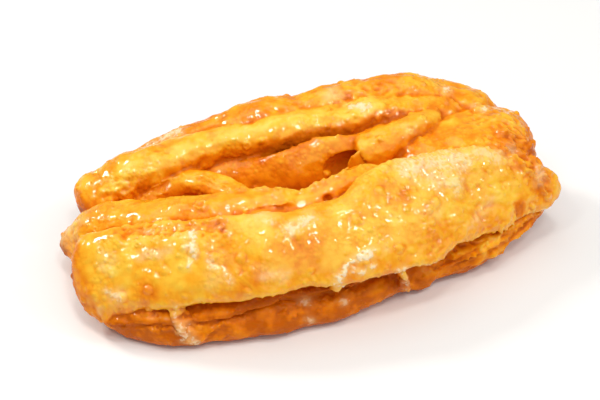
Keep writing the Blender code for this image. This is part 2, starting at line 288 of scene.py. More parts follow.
# %% Join the folds into one fine skin
FOLD_STATIONS, FOLD_SIDES = 100, 64
MOUTH_STATIONS, MOUTH_SIDES = 40, 48
SHRED_STATIONS, SHRED_SIDES = 20, 24
SKIN_STEP = 0.31
SKIN_SMOOTHING = 3
FAR_BELOW = 200


def link(piece):
    """Puts an object into the scene."""
    bpy.context.scene.collection.objects.link(piece)
    return piece


def new_piece(name, points, faces):
    """An object with a mesh of these points, in millimetres, and faces."""
    mesh = bpy.data.meshes.new(name)
    mesh.from_pydata(np.asarray(points) * MM, [], faces)
    return link(bpy.data.objects.new(name, mesh))


def apply_modifiers(piece):
    """Replaces the piece's mesh by what its modifiers make of it."""
    graph = bpy.context.evaluated_depsgraph_get()
    finished = bpy.data.meshes.new_from_object(piece.evaluated_get(graph))
    piece.modifiers.clear()
    piece.data = finished


def read(collection, field, width, kind=np.float64):
    """One field of every item, such as a point's place, as an array with this many columns."""
    values = np.empty(len(collection) * width, kind)
    collection.foreach_get(field, values)
    return values.reshape(-1, width)


def box_under_table():
    """A large box whose top is the table."""
    corners = np.array([(x, y, z) for x in (-1, 1) for y in (-1, 1) for z in (-2, 0)]) * FAR_BELOW / 2
    faces = [(0, 1, 3, 2), (4, 6, 7, 5), (0, 4, 5, 1), (2, 3, 7, 6), (0, 2, 6, 4), (1, 5, 7, 3)]
    return new_piece("under the table", corners, faces)


def boolean(piece, operation, other):
    """Applies a union or a difference with another object, and removes that object."""
    change = piece.modifiers.new("boolean", "BOOLEAN")
    change.operation = operation
    change.object = other
    change.solver = "MANIFOLD"
    apply_modifiers(piece)
    bpy.data.objects.remove(other)


def fold_piece(shape, stations, sides):
    return new_piece(shape.name, *closed_tube(fold_surface(shape, stations, sides)))


def join_folds(name, folds):
    """One piece from all these folds, remeshed into an even skin and softened a little."""
    points, faces, count = [], [], 0
    for shape in folds:
        tube_points, tube_faces = closed_tube(fold_surface(shape, FOLD_STATIONS, FOLD_SIDES))
        points.append(tube_points)
        faces += [[corner + count for corner in face] for face in tube_faces]
        count += len(tube_points)
    piece = new_piece(name, np.concatenate(points), faces)
    skin = piece.modifiers.new("skin", "REMESH")
    skin.mode = "VOXEL"
    skin.voxel_size = SKIN_STEP * MM
    soften = piece.modifiers.new("soften", "SMOOTH")
    soften.factor = 0.5
    soften.iterations = SKIN_SMOOTHING
    apply_modifiers(piece)
    return piece


crust = join_folds("khaja_crust", FOLDS + DRIPS)
boolean(crust, "DIFFERENCE", fold_piece(TORN_MOUTH, MOUTH_STATIONS, MOUTH_SIDES))
for shred in SHREDS:
    boolean(crust, "UNION", fold_piece(shred, SHRED_STATIONS, SHRED_SIDES))
boolean(crust, "DIFFERENCE", box_under_table())
points = read(crust.data.vertices, "co", 3) / MM
low, high = points.min(0), points.max(0)
solid_low, solid_high = (np.array(corner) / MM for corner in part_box("khaja"))
folds_to_model = np.append(((solid_low + solid_high - low - high) / 2)[:2], 0.0)
print("skin points:", len(points), "folds moved, mm:", folds_to_model.round(2))

# %% [markdown]
# ## Where each point lies on its fold
# Colour and relief follow the folds: fibres run along them, and a lip is darker than the broad face. Every path
# runs steadily to the right, so a fold's frame can be read at a point's own x. There the superellipse gives a
# level that is 1 on the surface, and the fold whose level is nearest 1 has the point.

# %% Find every point's fold
Places = namedtuple("Places", "owner across flow")
FOLD_GAP = 40.0
THINNEST = 0.3


def fold_places(points, folds):
    """The fold of each point, its place across it from -1 at the front edge to 1 at the back, and flow, which
    is the length along the fold, the length round it, and a step of its own for each fold, in mm."""
    nearest = np.full(len(points), np.inf)
    owner = np.zeros(len(points), int)
    share = np.zeros(len(points))
    flow = np.zeros((len(points), 3))
    x = points[:, 0]
    for index, shape in enumerate(folds):
        place = fold_frame(shape, FOLD_STATIONS)
        columns = np.column_stack(place).T
        there = np.stack([np.interp(x, place.middle[:, 0], column) for column in columns], axis=1)
        middle, across, rise = there[:, 0:3], there[:, 3:6], there[:, 6:9]
        wide, thick = np.maximum(there[:, 9:11], THINNEST).T
        u = ((points - middle) * across).sum(axis=1) / wide
        v = ((points - middle) * rise).sum(axis=1) / thick
        level = (np.abs(u) ** shape.square + np.abs(v) ** shape.square) ** (1 / shape.square)
        gap = np.abs(level - 1) * np.minimum(wide, thick)
        gap[(x < place.middle[0, 0]) | (x > place.middle[-1, 0])] = np.inf
        closer = gap < nearest
        nearest[closer], owner[closer], share[closer] = gap[closer], index, u[closer]
        round_fold = np.arctan2(v, u) * (wide + thick) / 2
        step = np.full(len(points), index * FOLD_GAP)
        flow[closer] = np.stack([there[:, 11], round_fold, step], axis=1)[closer]
    return Places(owner, np.clip(share, -1, 1), flow)


places = fold_places(points, FOLDS)
points += folds_to_model
fold_names = [shape.name for shape in FOLDS]
print("points on the flap:", int((places.owner == fold_names.index("flap")).sum()))

# %% [markdown]
# ## Helpers for relief
# Relief is worked out for all points of the skin at once. Gradient noise gives lumps and wrinkles, and each
# pattern has a seed of its own, so that no two are alike. Averaging each point with its neighbours, many times
# over, tells how far the skin lies inside or outside its surroundings, which finds creases and ridges.

# %% Noise, and the shape of the surroundings
DIRECTIONS = 4096
PRIMES = (73856093, 19349663, 83492791)
NOISE_GAIN = 1.6
RIDGE_ROUNDS = 50
SHARP_ROUNDS = 12


def noise(places, seed):
    """Gradient noise from about -1 to 1. A random direction stands at each corner of the unit cell round a
    place, and the eight products of direction and offset are blended by 6t^5 - 15t^4 + 10t^3."""
    directions = unit(np.random.default_rng(seed).normal(size=(DIRECTIONS, 3)))
    cell = np.floor(places).astype(np.int64)
    offset = places - cell
    blend = offset**3 * (offset * (offset * 6 - 15) + 10)
    total = np.zeros(len(places))
    for corner in np.ndindex(2, 2, 2):
        x, y, z = (cell + corner).T
        key = (x * PRIMES[0] ^ y * PRIMES[1] ^ z * PRIMES[2]) % DIRECTIONS
        weight = np.where(corner, blend, 1 - blend).prod(axis=1)
        total += weight * ((offset - corner) * directions[key]).sum(axis=1)
    return total * NOISE_GAIN


def drift(places, seed):
    """Three noises as a vector, to bend a pattern."""
    return np.stack([noise(places, seed + step) for step in range(3)], axis=1)


def ridges(places, seed):
    """Sharp crests where the noise crosses nought: 1 at a crest, falling to about 0."""
    return 1 - np.minimum(np.abs(noise(places, seed)) * 2.2, 1)


def puffs(places, seed):
    """Rounded bumps with sharp creases between them: the noise without its sign, less its mean."""
    return np.abs(noise(places, seed)) - 0.25


def smoothstep(low, high, value):
    """0 up to low, 1 from high, and the soft step 3t^2 - 2t^3 between. With low above high it falls."""
    t = np.clip((value - low) / (high - low), 0, 1)
    return t * t * (3 - 2 * t)


def skin_normals(mesh, points):
    """Moves the mesh's points and gives its normals there."""
    mesh.vertices.foreach_set("co", (points * MM).ravel())
    mesh.update()
    return read(mesh.vertex_normals, "vector", 3)


def averaged(values, edges, rounds):
    """Each value replaced by the mean of itself and its neighbours, this many times."""
    one, two = edges.T
    count = np.bincount(one, minlength=len(values)) + np.bincount(two, minlength=len(values)) + 1.0
    columns = values.reshape(len(values), -1).T.copy()
    for _ in range(rounds):
        for column in columns:
            near = np.bincount(one, column[two], len(column)) + np.bincount(two, column[one], len(column))
            column[:] = (column + near) / count
    return columns.T.reshape(values.shape)


def hollowness(points, normals, edges, rounds):
    """How far, in mm, the averaged surroundings stand out over the skin: above nought in a crease, below on a
    ridge."""
    return ((averaged(points, edges, rounds) - points) * normals).sum(axis=1)


def distance_to(points, path):
    """The distance from each point to the nearest place on a line through the path's points."""
    nearest = np.full(len(points), np.inf)
    path = np.atleast_2d(np.array(path, float))
    for start, end in zip(path, path[1:] if len(path) > 1 else path):
        span = end - start
        share = np.clip((points - start) @ span / max(span @ span, 1e-9), 0, 1)
        nearest = np.minimum(nearest, np.linalg.norm(points - start - share[:, None] * span, axis=1))
    return nearest


edges = read(crust.data.edges, "vertices", 2, np.int32)
normals = skin_normals(crust.data, points)
ridge = smoothstep(0.1, 0.7, -hollowness(points, normals, edges, RIDGE_ROUNDS))
sharp_edge = smoothstep(0.05, 0.3, -hollowness(points, normals, edges, SHARP_ROUNDS))
print("ridge share of the skin:", ridge.mean().round(3), "sharp edges:", sharp_edge.mean().round(3))

# %% [markdown]
# ## How each fold looks
# Tone is how deeply the dough is coloured, from 0 for pale lemon gold to 1 for rust. Fibres is how strongly
# fine pleats run along the fold, in mm. Puffed is the share of the soft lumps that it has. The broad flap is
# smooth and pale, the thin wall in the valley is drawn tight, and the sheets under the flap are rough and deep.

# %% Describe each fold's look
Look = namedtuple("Look", "tone fibres puffed")
LOOKS = {
    "core": Look(0.6, 0.2, 1.0), "padding": Look(0.6, 0.2, 1.0), "shoulder": Look(0.42, 0.12, 0.9),
    "flap": Look(0.28, 0.03, 0.9), "bottom_sheet": Look(0.6, 0.14, 1.0), "inner_sheet": Look(0.66, 0.3, 1.0),
    "middle_sheet": Look(0.56, 0.26, 1.0), "right_sheet": Look(0.52, 0.42, 1.0),
    "right_leaf": Look(0.54, 0.4, 1.0), "low_leaf": Look(0.54, 0.42, 1.0),
    "mid_roll": Look(0.38, 0.1, 0.9), "small_roll": Look(0.4, 0.14, 0.7), "arch_roll": Look(0.38, 0.14, 0.8),
    "valley_wall": Look(0.5, 0.06, 0.4), "valley_roll": Look(0.32, 0.14, 0.6),
    "back_roll": Look(0.32, 0.18, 1.0), "rear_roll": Look(0.54, 0.26, 1.0),
    "crest_roll": Look(0.42, 0.3, 1.0), "crest_pleat": Look(0.4, 0.3, 1.0),
    "back_sheet_low": Look(0.56, 0.24, 1.0), "back_sheet_mid": Look(0.5, 0.3, 1.0),
    "back_sheet_high": Look(0.48, 0.28, 1.0),
}
SEAM_ROUNDS = 8


def spread_over_folds(places, edges, field):
    """A look's value for every point, softened across the seams."""
    table = np.array([getattr(LOOKS[name], field) for name in fold_names])
    return averaged(table[places.owner], edges, SEAM_ROUNDS)


tone = spread_over_folds(places, edges, "tone")
fibres = spread_over_folds(places, edges, "fibres")
puffed = spread_over_folds(places, edges, "puffed")
on_flap = averaged((places.owner == fold_names.index("flap")).astype(float), edges, SEAM_ROUNDS)
lip = on_flap * smoothstep(-0.8, -0.97, places.across)
print("tone from", tone.min().round(2), "to", tone.max().round(2))

# %% [markdown]
# ## Lumps, pleats and ragged edges
# The broad relief comes first: soft lumps of puffed dough, pleats that run with the folds, and crumpled
# stretches where the sheets are gathered. Thin edges are ragged. The relief fades out just above the base, which
# stays flat.

# %% Push the broad relief into the skin
WRINKLED = [
    # The middle, its reach and its strength, of each stretch where the dough is gathered.
    ((-40, 10, 14), 8, 0.5),
    ((-53, 4, 10), 8, 0.5),
    ((46, 1, 20), 11, 0.8),
    ((51, -6, 16), 10, 1.0),
    ((20, 13, 24), 16, 0.4),
    ((-45, 20, 8), 10, 0.6),
    ((30, -20, 7), 22, 0.5),
]
HOLLOWS = [
    # The line, the reach and the depth of each narrow hollow: a frothy trough, a pin hole and a dark cleft.
    ([(-41.5, -7.8, 19), (-35.1, -10.2, 20.9), (-31.2, -11.8, 21.9), (-24.5, -15.1, 23)], 3.0, 1.2),
    ([(0.6, -12.2, 21.6)], 1.0, 1.4),
    ([(-40, -6.2, 17), (-45, -3.5, 15)], 1.5, 0.8),
]
RIMS = [
    # The line and the height of each thin sheet edge that stands out of the skin.
    ([(-22, -3.5, 20), (-16.5, -4.4, 21), (-13.1, -5.1, 21.5), (-9.5, -6.8, 22), (-7.1, -8.7, 22.2)], 0.9),
    ([(-6.1, -8.4, 22), (-0.2, -8.1, 22.9), (4.5, -7.6, 23.7), (7.9, -6.7, 23.6), (11.5, -5.2, 23.4)], 0.8),
    ([(-16.5, -9.5, 20.1), (-11.6, -10, 20.9), (-6.1, -11.6, 21.5)], 0.7),
    ([(-33.8, 8.8, 15.5), (-29.8, 9.2, 16.7), (-26.4, 8.6, 17.7), (-22.5, 6, 18.3), (-18.3, 2, 18.5)], 0.5),
    ([(-1.8, 7, 21.2), (4, 6.8, 22.4), (10, 6.6, 23)], 0.5),
    ([(-48.5, -18.8, 4.2), (-41, -22.9, 4.6), (-33, -26, 5)], 0.7),
    ([(-31, -26.8, 3.2), (-27, -27, 6), (-23, -26.3, 9)], 0.8),
    ([(22, -23, 5), (33, -21, 6.5), (44, -16, 9)], 0.7),
    ([(24, -24, 8.5), (36, -21.5, 9.5), (46, -16, 11)], 0.8),
    ([(28, -22.5, 6.2), (40, -19, 7.5), (50, -12.5, 9.5)], 0.8),
    ([(42.7, -7.5, 22.2), (45.2, -10.6, 19.8), (48.4, -12.5, 16.3), (50.6, -14.2, 12.8)], 1.2),
    ([(44.5, -6, 21.5), (48.6, -8.6, 18.9), (50.5, -10.3, 17), (52.2, -13, 13.8)], 1.2),
    ([(43, -2, 23), (49, -5, 19.5), (52, -9, 16)], 0.8),
    ([(44, 2, 22), (50, -1, 19), (53, -5, 15)], 0.7),
]
RIM_HALF_WIDTH = 0.45
RIM_STEP = 1.0


def gathered(points):
    """How strongly the dough is gathered at a point, from 0 to 1."""
    total = np.zeros(len(points))
    for middle, reach, strength in WRINKLED:
        total = np.maximum(total, strength * smoothstep(1, 0.35, distance_to(points, middle) / reach))
    return total


def hollowed(points):
    """How much of each hollow lies at a point, from 0 to 1, and how deep it is there."""
    cover, depth = np.zeros(len(points)), np.zeros(len(points))
    for path, reach, deepest in HOLLOWS:
        here = smoothstep(1.1, 0.2, distance_to(points, path) / reach + 0.45 * noise(points / 1.5, 15))
        cover = np.maximum(cover, here)
        depth = np.maximum(depth, deepest * here)
    return cover, depth


def broad_relief(points, flow, fibres, puffed, ridge, lip):
    """Lumps: noise 7.5 and 3.4 mm across, less of them at the lip. Puffs: 3 and 1.3 mm across. Pleats: crests
    2.6 mm apart across the folds and 13 mm long. Finer fibres: half that. Crumples: 1.7 to 3 mm apart."""
    lumps = 0.45 * noise(points / 7.5, 1) + 0.26 * noise(points / 3.4, 2)
    blown = 0.36 * puffs(points / 3.0, 13) + 0.12 * puffs(points / 1.3, 14)
    bend = drift(points / 9, 4)
    lengthwise = ridges((flow + 2.0 * bend) * (1 / 13, 1 / 2.6, 1), 7) - 0.5
    fine = ridges((flow + 1.2 * bend) * (1 / 6, 1 / 1.2, 1), 9) - 0.5
    crumpled = ridges((points + 1.5 * bend) * (1 / 3.0, 1 / 1.7, 1 / 1.7), 8) - 0.5
    pull = gathered(points)
    soft = puffed * (lumps * (1 + 0.3 * ridge) + blown) * (1 - 0.7 * lip)
    return soft + fibres * (lengthwise + 0.4 * fine) + crumpled * (0.03 + 0.6 * pull)


def ragged_edges(points, sharp_edge, lip):
    """Short spikes, 1.2 mm apart, on sharp edges, and long shallow notches along the lip."""
    spikes = 0.3 * ridges(points / 1.2, 11) ** 2 + 0.16 * noise(points / 0.8, 12)
    return sharp_edge * spikes * (1 - 0.7 * lip) + lip * 0.3 * ridges(points / (2.6, 4, 4), 16) ** 2


def laid_on_skin(path, points):
    """The path cut into short steps, each moved to the nearest point of the skin."""
    path = np.array(path, float)
    run = np.append(0, np.cumsum(np.linalg.norm(np.diff(path, axis=0), axis=1)))
    steps = np.arange(0, run[-1], RIM_STEP)
    places = np.stack([np.interp(steps, run, column) for column in path.T], axis=1)
    return np.array([points[np.linalg.norm(points - place, axis=1).argmin()] for place in places])


def thin_rims(points):
    """A rim is exp(-(d / half width)^2) high, with d the distance to its line on the skin. Noise bends it and
    tears it down in places."""
    moved = points + 0.6 * drift(points / 3, 17)
    torn = 0.25 + 0.9 * ridges(points / 2.2, 18)
    height = np.zeros(len(points))
    for path, tall in RIMS:
        distance = distance_to(moved, laid_on_skin(path, points))
        height += tall * torn * np.exp(-((distance / RIM_HALF_WIDTH) ** 2))
    return height


above_base = smoothstep(0.0, 1.6, points[:, 2])
hollow_cover, hollow_depth = hollowed(points)
rims = thin_rims(points)
height = averaged(broad_relief(points, places.flow, fibres, puffed, ridge, lip) - hollow_depth, edges, 1)
height += rims + ragged_edges(points, sharp_edge, lip)
points += averaged(normals, edges, 1) * (height * above_base)[:, None]
normals = skin_normals(crust.data, points)
print("after the broad relief, mm:", points.min(0).round(1), points.max(0).round(1))

# %% [markdown]
# ## Blisters
# Drops of water in the dough turn to steam and raise blisters. Most are domes, and some have burst and left a
# ring. Their places are drawn at random with a fixed seed, with more of them at the spots named below. Noise
# bends each of them, so that none is a perfect circle.

# %% Raise the blisters
Cluster = namedtuple("Cluster", "middle reach count smallest largest")
CLUSTERS = [
    Cluster((-25.4, -7.2, 21.3), 1.0, 1, 1.5, 1.5),
    Cluster((-36, -9.8, 19.4), 3, 20, 0.6, 1.1),
    Cluster((-29, -13, 20.8), 3.6, 26, 0.6, 1.2),
    Cluster((-38, -9, 20), 5, 60, 0.35, 0.8),
    Cluster((-31, -12, 22), 4, 40, 0.35, 0.8),
    Cluster((-25, -14.6, 23), 4, 40, 0.35, 0.8),
    Cluster((-36, 9, 14.5), 6, 90, 0.3, 0.7),
    Cluster((-41, 9.5, 15), 5, 50, 0.3, 0.7),
    Cluster((-35.2, -10.2, 20), 2.2, 8, 0.8, 1.3),
    Cluster((-31.8, -12.5, 21), 1.8, 5, 0.7, 1.2),
    Cluster((-27.4, -13.9, 22), 1.8, 5, 0.7, 1.3),
    Cluster((-47, -12.5, 16), 3.0, 18, 0.6, 1.5),
    Cluster((-46.3, -18, 11.1), 1.2, 3, 1.1, 1.5),
    Cluster((-40, -15, 17.5), 3.4, 16, 0.4, 0.9),
    Cluster((-10, -20, 23), 3.4, 16, 0.4, 0.9),
    Cluster((20.4, -20.4, 20.3), 2.6, 9, 0.6, 1.3),
    Cluster((8.3, -26.2, 18.5), 2.2, 8, 0.4, 0.9),
    Cluster((24.3, 2.6, 24.2), 1.8, 6, 0.6, 1.2),
    Cluster((42.7, 7.7, 23.1), 2.0, 5, 0.9, 1.6),
    Cluster((50.5, -10.3, 17), 3.4, 24, 0.4, 1.0),
    Cluster((45.2, -10.6, 19.8), 4, 30, 0.35, 0.8),
    Cluster((-34, -27.5, 4.5), 2.6, 34, 0.35, 0.7),
    Cluster((-49, 0.5, 15), 5, 40, 0.4, 0.9),
    Cluster((-8, -27, 6), 7, 70, 0.35, 0.8),
    Cluster((0, -27, 6), 5, 40, 0.35, 0.8),
    Cluster((-35, -25, 6), 5, 40, 0.35, 0.8),
    Cluster((12, -9, 25), 4, 14, 0.6, 1.2),
    Cluster((24, -12, 24.5), 9, 110, 0.35, 0.9),
    Cluster((33, -10.5, 23.5), 6, 60, 0.35, 0.8),
    Cluster((14, -17, 23), 8, 50, 0.4, 1.0),
    Cluster((45, -2, 22), 8, 60, 0.4, 0.9),
    Cluster((-43, 14, 15), 7, 50, 0.35, 0.9),
    Cluster((33, 14, 25), 7, 60, 0.35, 0.9),
    Cluster((14, 14, 25), 6, 40, 0.35, 0.9),
    Cluster((6, -26, 17), 7, 40, 0.35, 0.8),
]
DRAW_SEED = 20
SCATTERED = 700
SCATTERED_RADIUS = 0.4
SCATTERED_SPREAD = 0.9
CLOSEST = 0.6
LOWEST_BLISTER = 1.5
BURST_SHARE = 0.12
LOWEST_DOME = 0.28
DOME_SPREAD = 0.3
BLISTER_BEND = 0.3
BLISTER_EDGE = 1.35


def place_blisters(points, draw):
    """Middles and radii. Clusters are drawn first and the rest anywhere, and one that would run into an earlier
    one is left out."""
    middles, radii = [], []
    for cluster in CLUSTERS:
        near = np.flatnonzero(np.linalg.norm(points - cluster.middle, axis=1) < cluster.reach)
        chosen = near[draw.integers(0, len(near), cluster.count)]
        middles.append(points[chosen])
        spread = cluster.largest - cluster.smallest
        radii.append(cluster.smallest + spread * draw.random(cluster.count) ** 1.6)
    chosen = draw.integers(0, len(points), SCATTERED)
    middles.append(points[chosen])
    radii.append(SCATTERED_RADIUS + SCATTERED_SPREAD * draw.random(SCATTERED) ** 3)
    middles, radii = np.concatenate(middles), np.concatenate(radii)
    kept = []
    for index in np.flatnonzero(middles[:, 2] > LOWEST_BLISTER):
        gaps = np.linalg.norm(middles[kept] - middles[index], axis=1) - radii[kept]
        if (gaps > radii[index] * CLOSEST).all():
            kept.append(index)
    return middles[kept], radii[kept]


def blister_relief(points, middles, radii, draw):
    """Heights in mm. With t the distance over the radius, a dome is (1 - t^2)^1.5 high, times its own tallness.
    A burst blister is a ring round t = 0.72, a little sunk within t = 0.5. A shallow moat runs round both.
    Noise moves the points by up to a third of a radius before t is taken."""
    height = np.zeros(len(points))
    bend = drift(points / 0.9, 50)
    tallness = LOWEST_DOME + DOME_SPREAD * draw.random(len(radii))
    for middle, radius, burst, tall in zip(middles, radii, draw.random(len(radii)) < BURST_SHARE, tallness):
        near = np.flatnonzero((np.abs(points - middle) < BLISTER_EDGE * radius).all(axis=1))
        t = np.linalg.norm(points[near] + BLISTER_BEND * radius * bend[near] - middle, axis=1) / radius
        dome = np.clip(1 - t**2, 0, 1) ** 1.5 * tall
        ring = np.exp(-(((t - 0.72) / 0.22) ** 2)) * 0.26 - 0.06 * (t < 0.5)
        moat = -0.05 * np.exp(-(((t - 1.12) / 0.12) ** 2))
        height[near] += radius * ((ring if burst else dome) + moat)
    return height


draw = np.random.default_rng(DRAW_SEED)
blister_middles, blister_radii = place_blisters(points, draw)
blister_height = blister_relief(points, blister_middles, blister_radii, draw)
print("blisters:", len(blister_radii), "highest, mm:", blister_height.max().round(2))

# %% [markdown]
# ## Dried sugar, and painted sheen
# Where syrup has run and dried, it leaves white flecks in a pale, half clear veil. Each smear below is a line
# with a reach and a strength. Noise bends it and breaks it up. The flecks stand a little proud of the dough.
# Several smears with few or no flecks lie where the glaze shines on glassy blisters, and there the pale veil is
# painted sheen.

# %% Lay out the sugar
Smear = namedtuple("Smear", "path reach strength flecks", defaults=(1.0,))
SMEARS = [
    # The smears with few or no flecks are mostly painted sheen: pale veil where the glaze shines on glassy
    # blisters.
    Smear([(-47, -12.5, 16)], 2.6, 0.9, 0.0),
    Smear([(-46.3, -18, 11.1)], 2.2, 0.8, 0.0),
    Smear([(-50.2, -17.8, 7.4)], 1.3, 0.7, 0.0),
    Smear([(-40.4, -14.5, 17.7), (-34.8, -16.4, 19)], 1.5, 0.8, 0.2),
    Smear([(-14.7, -15.4, 23.9)], 3.2, 0.9, 0.1),
    Smear([(-10.1, -20.5, 23), (-5.1, -19.3, 23.5)], 1.9, 0.9, 0.7),
    Smear([(-17.1, -26.6, 17), (-13.1, -27.1, 16.9)], 1.6, 0.7, 0.2),
    Smear([(-27.5, -24, 16)], 2.2, 0.6, 0.1),
    Smear([(20.4, -20.4, 20.3)], 2.6, 0.5, 0.0),
    Smear([(29, -22, 15), (36, -17, 17)], 1.8, 0.4, 0.3),
    Smear([(44.3, -7.4, 21.5)], 2.0, 0.6, 0.3),
    Smear([(49.3, -12.3, 15.9), (50.5, -10.3, 17)], 1.8, 0.7, 0.3),
    Smear([(42.7, 7.7, 23.1)], 2.0, 0.8, 0.2),
    Smear([(10.8, 18.5, 25.8)], 2.8, 0.8, 0.2),
    Smear([(24.3, 2.6, 24.2)], 1.8, 0.7, 0.0),
    Smear([(-50.4, 5, 14.2), (-53.4, 4, 10.8)], 3.4, 0.9, 0.0),
    Smear([(-28.6, -13.6, 22.4), (-29.9, -15.5, 21.7), (-30.2, -17.4, 20.6)], 1.5, 1.0),
    Smear([(-30.2, -17.4, 20.6), (-29.6, -18.8, 20.0), (-31.4, -20.4, 18.4)], 1.1, 0.9),
    Smear([(-2.5, -29.3, 13.4), (-1.1, -28.2, 16), (1.1, -27.1, 17.5), (5.5, -26.9, 17.9)], 1.3, 1.0),
    Smear([(1.0, -28.8, 15.2), (5, -28.7, 15.4)], 1.0, 0.8),
    Smear([(8.7, -26.2, 18.0)], 1.1, 1.0),
    Smear([(11.2, -29.6, 13), (12.6, -29.9, 9.5), (13.4, -28.4, 5.8), (14.1, -27.5, 2.6)], 1.9, 0.75),
    Smear([(-35.2, -25.4, 10.2), (-34.8, -27, 6.5), (-33.3, -27.9, 3)], 2.3, 0.65),
    Smear([(-3.3, -31.4, 13.6), (-2.4, -30.8, 11), (-2, -29.5, 8)], 1.5, 0.7),
    Smear([(13.5, 14, 25.7), (16.9, 11, 25.9)], 2.0, 0.8),
    Smear([(36.7, 14.2, 25.4)], 2.4, 0.85),
    Smear([(43.3, 6.2, 23.4)], 1.8, 0.8),
    Smear([(18, -12, 25.4), (31.3, -10, 24.4)], 4.2, 0.85, 0.6),
    Smear([(22.5, -14.1, 23.9), (28, -15, 22)], 3.4, 0.7, 0.5),
    Smear([(35.3, -9, 24.4), (40, -9.5, 22)], 3.0, 0.7, 0.5),
    Smear([(-31, 20.6, 18), (-25, 21.7, 20)], 2.2, 0.8),
    Smear([(-39.1, -8.6, 20), (-35.1, -10.2, 21)], 1.3, 0.7),
    Smear([(-31.2, -11.8, 22)], 1.2, 0.7),
    Smear([(-27, -21, 18.6), (-24, -24.5, 15.6)], 1.6, 0.45),
    Smear([(-14, -18.2, 23.5)], 1.8, 0.45),
    Smear([(-49, -16.6, 12.4), (-46, -18.4, 11.2)], 1.2, 0.5),
    Smear([(-8.4, -26.3, 7)], 1.6, 0.5),
    Smear([(-8.1, -28.5, 3.7)], 1.6, 0.5),
    Smear([(-0.5, -27.3, 6)], 1.6, 0.5),
    Smear([(-20, 24, 8), (-14, 25, 8)], 2, 0.6),
    Smear([(22, 22, 15), (27, 21.5, 15)], 1.8, 0.6),
    Smear([(54, 2, 12), (55, -2, 9)], 1.8, 0.5),
]


def sugar_cover(points):
    """The veil and the flecks, each from 0 to 1. With s the distance to a smear over its reach, the veil is
    the smear's strength times a soft ramp from s = 1.4 down to 0.2. Flecks are left where crests of a fine
    noise, plus 0.8 - s, pass a limit, and count by the smear's own share of flecks. The points are first moved
    by up to a millimetre, so that a smear branches."""
    blur = 0.3 * noise(points / 2.6, 30)
    crests = 0.5 * ridges(points / 1.2, 31) + 0.45 * noise(points / 0.55, 32)
    moved = points + 0.9 * drift(points / 2.2, 33)
    veil, flecks = np.zeros(len(points)), np.zeros(len(points))
    for smear in SMEARS:
        share = distance_to(moved, smear.path) / smear.reach
        veil = np.maximum(veil, smear.strength * smoothstep(1.4, 0.2, share + blur))
        most = smear.strength * smear.flecks
        flecks = np.maximum(flecks, most * smoothstep(0.45, 0.85, crests + 0.8 - share))
    return veil, flecks


veil, sugar = sugar_cover(points)
grain = 0.5 + 0.5 * noise(points / 0.65, 36)
fine_relief = blister_height + 0.05 * veil + sugar * (0.08 + 0.22 * grain) + 0.03 * noise(points / 0.8, 37)
above_base = smoothstep(0.2, 1.6, points[:, 2])
points += normals * (fine_relief * above_base)[:, None]
normals = skin_normals(crust.data, points)
print("sugar share of the skin:", (sugar > 0.4).mean().round(3))

# %% [markdown]
# ## How deeply the crust is coloured, with painted shade and light
# The crust is pale gold on its crests and deep orange in its folds. A table of measures is added to each fold's
# own tone. The chief ones are how far a point lies under a cloth drawn over the pastry, how hollow its
# surroundings are, and how steeply it faces. The deeper orange that they add in folds, hollows and dents and
# on steep faces is painted shade. The paler crests are partly the dough's own colour and partly painted light,
# and the paler mouth of the torn roll is a painted glow. A few tints paint shade and light too. The same table
# says where the glaze is thin, and so looks dry. The results are stored on the mesh as attributes, which a
# material can read.

# %% Measure depth and creases, and store the tone
CELL = 0.5
CLOTH_REACH = 7.0
DEPTH_ROUNDS = 4
CREASE_ROUNDS = 16
BROAD_ROUNDS = 80
FACING_ROUNDS = 8
MOUTH_REACH = 5
TINTS = [
    # The line, the reach and the change in tone of each stretch that is browner or paler than its fold.
    ([(-17, -25.5, 18.5), (-9, -24.4, 20)], 5.0, 0.14),
    ([(13.5, -17, 24)], 4.5, 0.16),
    ([(20, -23.5, 17.5)], 5.0, 0.14),
    ([(-41, -19, 14.5)], 4.5, 0.12),
    ([(-30, -17.5, 20.5)], 4.5, -0.08),
    ([(-16.5, -18, 22.5)], 4.5, -0.12),
    ([(22.5, -19.5, 20.5)], 3.5, -0.1),
    ([(-1, -21.5, 22.3)], 6.0, -0.08),
    # Painted shade on the back roll's front face, above the valley.
    ([(-8, 8.6, 20), (0, 8.3, 21), (16, 8, 22.5), (34, 9, 23)], 3.2, 0.34),
    ([(-40, 11.5, 18), (-22, 12.5, 21.5), (0, 12, 24.5), (16, 11.5, 25.8)], 3.4, -0.16),
    ([(16, 2.5, 23), (26, 3.2, 24), (33, 5, 24)], 3.0, -0.1),
    ([(44, -4, 21), (50, -9, 17)], 6.0, 0.14),
    ([(18, -25, 4), (40, -19, 6), (52, -12, 9)], 6.0, -0.24),
    ([(-30, -27, 3), (-8, -28.5, 3), (14, -27, 3)], 4.5, -0.12),
    # Painted shade in the gap under the flap's lip.
    ([(-30, -22, 9), (-10, -24, 10.5), (10, -24, 10.5)], 3.0, 0.16),
    ([(-48, 2, 8), (-50, -6, 8)], 6.0, -0.15),
    ([(3, -26, 3), (12, -26, 3)], 5.0, -0.3),
    ([(-52, 4.5, 12)], 4.5, -0.2),
    # Painted light on the back of the back roll, on its shaded side.
    ([(-26, 14.5, 19), (-4, 14.5, 22)], 3.0, -0.14),
]


def widened(heights, steps, pick):
    """The highest, or lowest, height within this many cells. Cross and square steps in turn make a rough disc."""
    for step in range(steps):
        moved = np.pad(heights, 1, mode="edge")
        cross = [moved[1:-1, :-2], moved[1:-1, 2:], moved[:-2, 1:-1], moved[2:, 1:-1]]
        corners = [moved[:-2, :-2], moved[:-2, 2:], moved[2:, :-2], moved[2:, 2:]]
        for other in cross + (corners if step % 2 else []):
            heights = pick(heights, other)
    return heights


